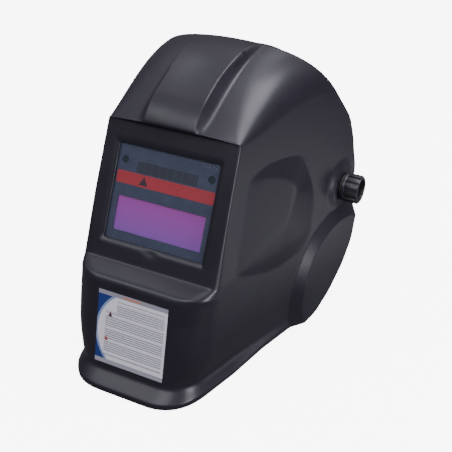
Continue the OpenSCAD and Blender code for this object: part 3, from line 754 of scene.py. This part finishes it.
KNOB_FROM = 109.93
GRIPS = 12
knob_cup = [(0, 6.3), (0, 13.7), (0.3, 14.2), (0.8, 14.45), (3.2, 14.45), (3.8, 14.2), (4.1, 13.7),
            (4.3, 12.9), (16.7, 12.9), (17.2, 12.7), (17.45, 12.2), (17.45, 11.2), (17.2, 10.7),
            (16.6, 10.5), (10.8, 10.3), (10.4, 9.8), (10.4, 6.3)]
for side, body, node in ((1, "left_tension_knob", "tension_knob_left"),
                         (-1, "right_tension_knob", "tension_knob_right")):
    bm = lathe(knob_cup, 96)
    for k in range(GRIPS):
        grip = bmesh.ops.create_cube(bm, size=1)["verts"]
        bmesh.ops.scale(bm, vec=(0.0126, 0.0040, 0.0030), verts=grip)
        grip_edges = list({e for v in grip for e in v.link_edges})
        rounded = bmesh.ops.bevel(bm, geom=grip_edges, offset=0.0007, offset_type="OFFSET",
                                  segments=2, profile=0.5, affect="EDGES", material=-1)
        grip = list({v for f in rounded["faces"] for v in f.verts})
        bmesh.ops.transform(bm, matrix=Matrix.Rotation(k * 2 * math.pi / GRIPS, 4, "X")
                            @ Matrix.Translation((0.0103, 0, 0.0129)), verts=grip)
    axle = Vector((side * KNOB_FROM, *PIVOT)) * 0.001
    bmesh.ops.transform(bm, matrix=Matrix.Translation(axle) @ Matrix.Scale(side, 4, (1, 0, 0)),
                        verts=bm.verts[:])
    bmesh.ops.recalc_face_normals(bm, faces=bm.faces[:])
    knob = make_object(bm, node + "_cup", 30)
    knob.data.materials.append(knob_plastic)
    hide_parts(node)
    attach(knob, body)

brass = material("turned_brass", (0.55, 0.38, 0.14), 0.28, metal=1.0, mottle=0.1, grain=0.2)
fibre = material("washer_fibre", (0.06, 0.052, 0.045), 0.6, mottle=0.3, mottle_scale=400)
for side in ("left", "right"):
    dress("knob_insert_" + side, brass, 0.3)
    dress("pivot_bolt_" + side, steel, 0.4)
    dress("slider_plate_" + side, steel, 0.3)
    dress("spacer_bush_" + side, black_plastic, 0.4)
    dress("pivot_bush_" + side, black_plastic, 0.3)
    dress("friction_washer_" + side, fibre, 0.2)


# ---- Headgear ----------------------------------------------------------------------
# Flexible moulded bands: the front band with its two slotted side arms, the rear
# bands, two crown straps that overlap on top, and the ratchet box at the nape.
band_plastic = material("band_plastic", (0.030, 0.030, 0.034), 0.45, mottle=0.12, grain=0.35,
                        grain_scale=2200)
for node in ("front_band", "crown_strap_left", "crown_strap_right", "rear_band_left",
             "rear_band_right", "rack_left", "rack_right"):
    dress(node, band_plastic, 0.35)
dress("ratchet_housing", band_plastic, 0.8)
dress("ratchet_cover", band_plastic, 0.5)
dress("ratchet_knob", knob_plastic, 0.6)
dress("ratchet_pinion", material("acetal", (0.62, 0.62, 0.60), 0.4, mottle=0.05), 0.15)

sweat_cloth = material("sweat_cloth", (0.085, 0.085, 0.098), 0.85, mottle=0.25, mottle_scale=700,
                       grain=0.8, grain_scale=1800)


# The cushions' corner radius, the voxel of their remesh and the frames they swell for
CUSHION_CORNER = 0.007
CUSHION_VOXEL = 0.0022
CUSHION_FRAMES = 20


def on_head(x, y, z):
    """A place given in mm in the frame of the tilted headgear, in metres."""
    tilt = math.radians(10)
    return Vector((x, PIVOT[0] + y * math.cos(tilt) + z * math.sin(tilt),
                   PIVOT[1] - y * math.sin(tilt) + z * math.cos(tilt))) * 0.001


def bake(obj):
    """Turns an object's modifiers into its mesh."""
    graph = bpy.context.evaluated_depsgraph_get()
    graph.update()
    data = bpy.data.meshes.new_from_object(obj.evaluated_get(graph))
    obj.modifiers.clear()
    obj.data = data


def stuffed(name, node, size, place, sewn, cap):
    """A flat foam pad of the given size in mm, swollen inside its cover and then bent into
    place. sewn says how firmly a spot of it is held down, from 0 to 1, and no point moves
    further than cap."""
    width, height, thick = size
    bm = bmesh.new()
    bmesh.ops.create_cube(bm, size=1)
    bmesh.ops.scale(bm, vec=(width * 0.001, height * 0.001, thick * 0.001), verts=bm.verts[:])
    corners = [e for e in bm.edges if abs(e.verts[0].co.z - e.verts[1].co.z) > 1e-6]
    bmesh.ops.bevel(bm, geom=corners, offset=CUSHION_CORNER, offset_type="OFFSET", segments=6, profile=0.5,
                    affect="EDGES", material=-1)
    pad = make_object(bm, name, 60)
    remesh = pad.modifiers.new("remesh", "REMESH")
    remesh.mode = "VOXEL"
    remesh.voxel_size = CUSHION_VOXEL
    bake(pad)
    flat = [v.co.copy() for v in pad.data.vertices]
    held = pad.vertex_groups.new(name="held")
    for v in pad.data.vertices:
        back = 1.0 if v.co.z < -0.25 * thick * 0.001 else 0.0
        held.add([v.index], max(back, sewn(v.co.x * 1000, v.co.y * 1000)), "REPLACE")
    cloth = pad.modifiers.new("cloth", "CLOTH")
    cloth.settings.quality = 6
    cloth.settings.mass = 0.25
    cloth.settings.tension_stiffness = 12
    cloth.settings.compression_stiffness = 12
    cloth.settings.bending_stiffness = 0.4
    cloth.settings.use_pressure = True
    cloth.settings.uniform_pressure_force = 4.0
    cloth.settings.effector_weights.gravity = 0
    cloth.settings.vertex_group_mass = "held"
    cloth.point_cache.frame_start = 1
    cloth.point_cache.frame_end = CUSHION_FRAMES
    for f in range(1, CUSHION_FRAMES + 1):
        bpy.context.scene.frame_set(f)
    bake(pad)
    bpy.context.scene.frame_set(1)
    for v, start in zip(pad.data.vertices, flat):
        move = v.co - start
        if move.length > cap * 0.001:
            move *= cap * 0.001 / move.length
        v.co = start + move
    rounds = pad.modifiers.new("rounds", "SUBSURF")
    rounds.levels = rounds.render_levels = 1
    bake(pad)
    for v in pad.data.vertices:
        v.co = place(*(v.co * 1000))
    pad.data.polygons.foreach_set("use_smooth", [True] * len(pad.data.polygons))
    pad.data.materials.clear()
    pad.data.materials.append(sweat_cloth)
    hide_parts(node)
    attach(pad, "headgear")
    return pad


BAND_R = 80.0
BAND_MIDDLE = -14.0


def round_brow(x, y, z):
    """The flat pad bent round the inside of the front band, its face towards the head."""
    turn = x / (BAND_R - 3)
    radius = BAND_R - 3.3 - z
    return on_head(radius * math.sin(turn), BAND_MIDDLE - radius * math.cos(turn), 22 + y)


def at_nape(x, y, z):
    """The flat pad set in front of the ratchet box, its face towards the head."""
    return on_head(x, 85.0 - z, 11 + y)


def quilted(x, y):
    """Held along the border and along five sewn channels across the pad."""
    across = abs(math.remainder(x, 29.0))
    border = min(88 - abs(x), 14.5 - abs(y))
    return max(0.0, 1 - across / 2.4, 1 - border / 2.2)


def bordered(x, y):
    """Held along the border and along one line down the middle."""
    return max(0.0, 1 - abs(x) / 2.0, 1 - min(42 - abs(x), 15.5 - abs(y)) / 2.4)


brow_pad = stuffed("brow_cushion", "sweatband", (174, 28.5, 4.6), round_brow, quilted, 2.0)
nape_cushion = stuffed("nape_cushion", "nape_pad", (83, 30, 5.0), at_nape, bordered, 2.0)
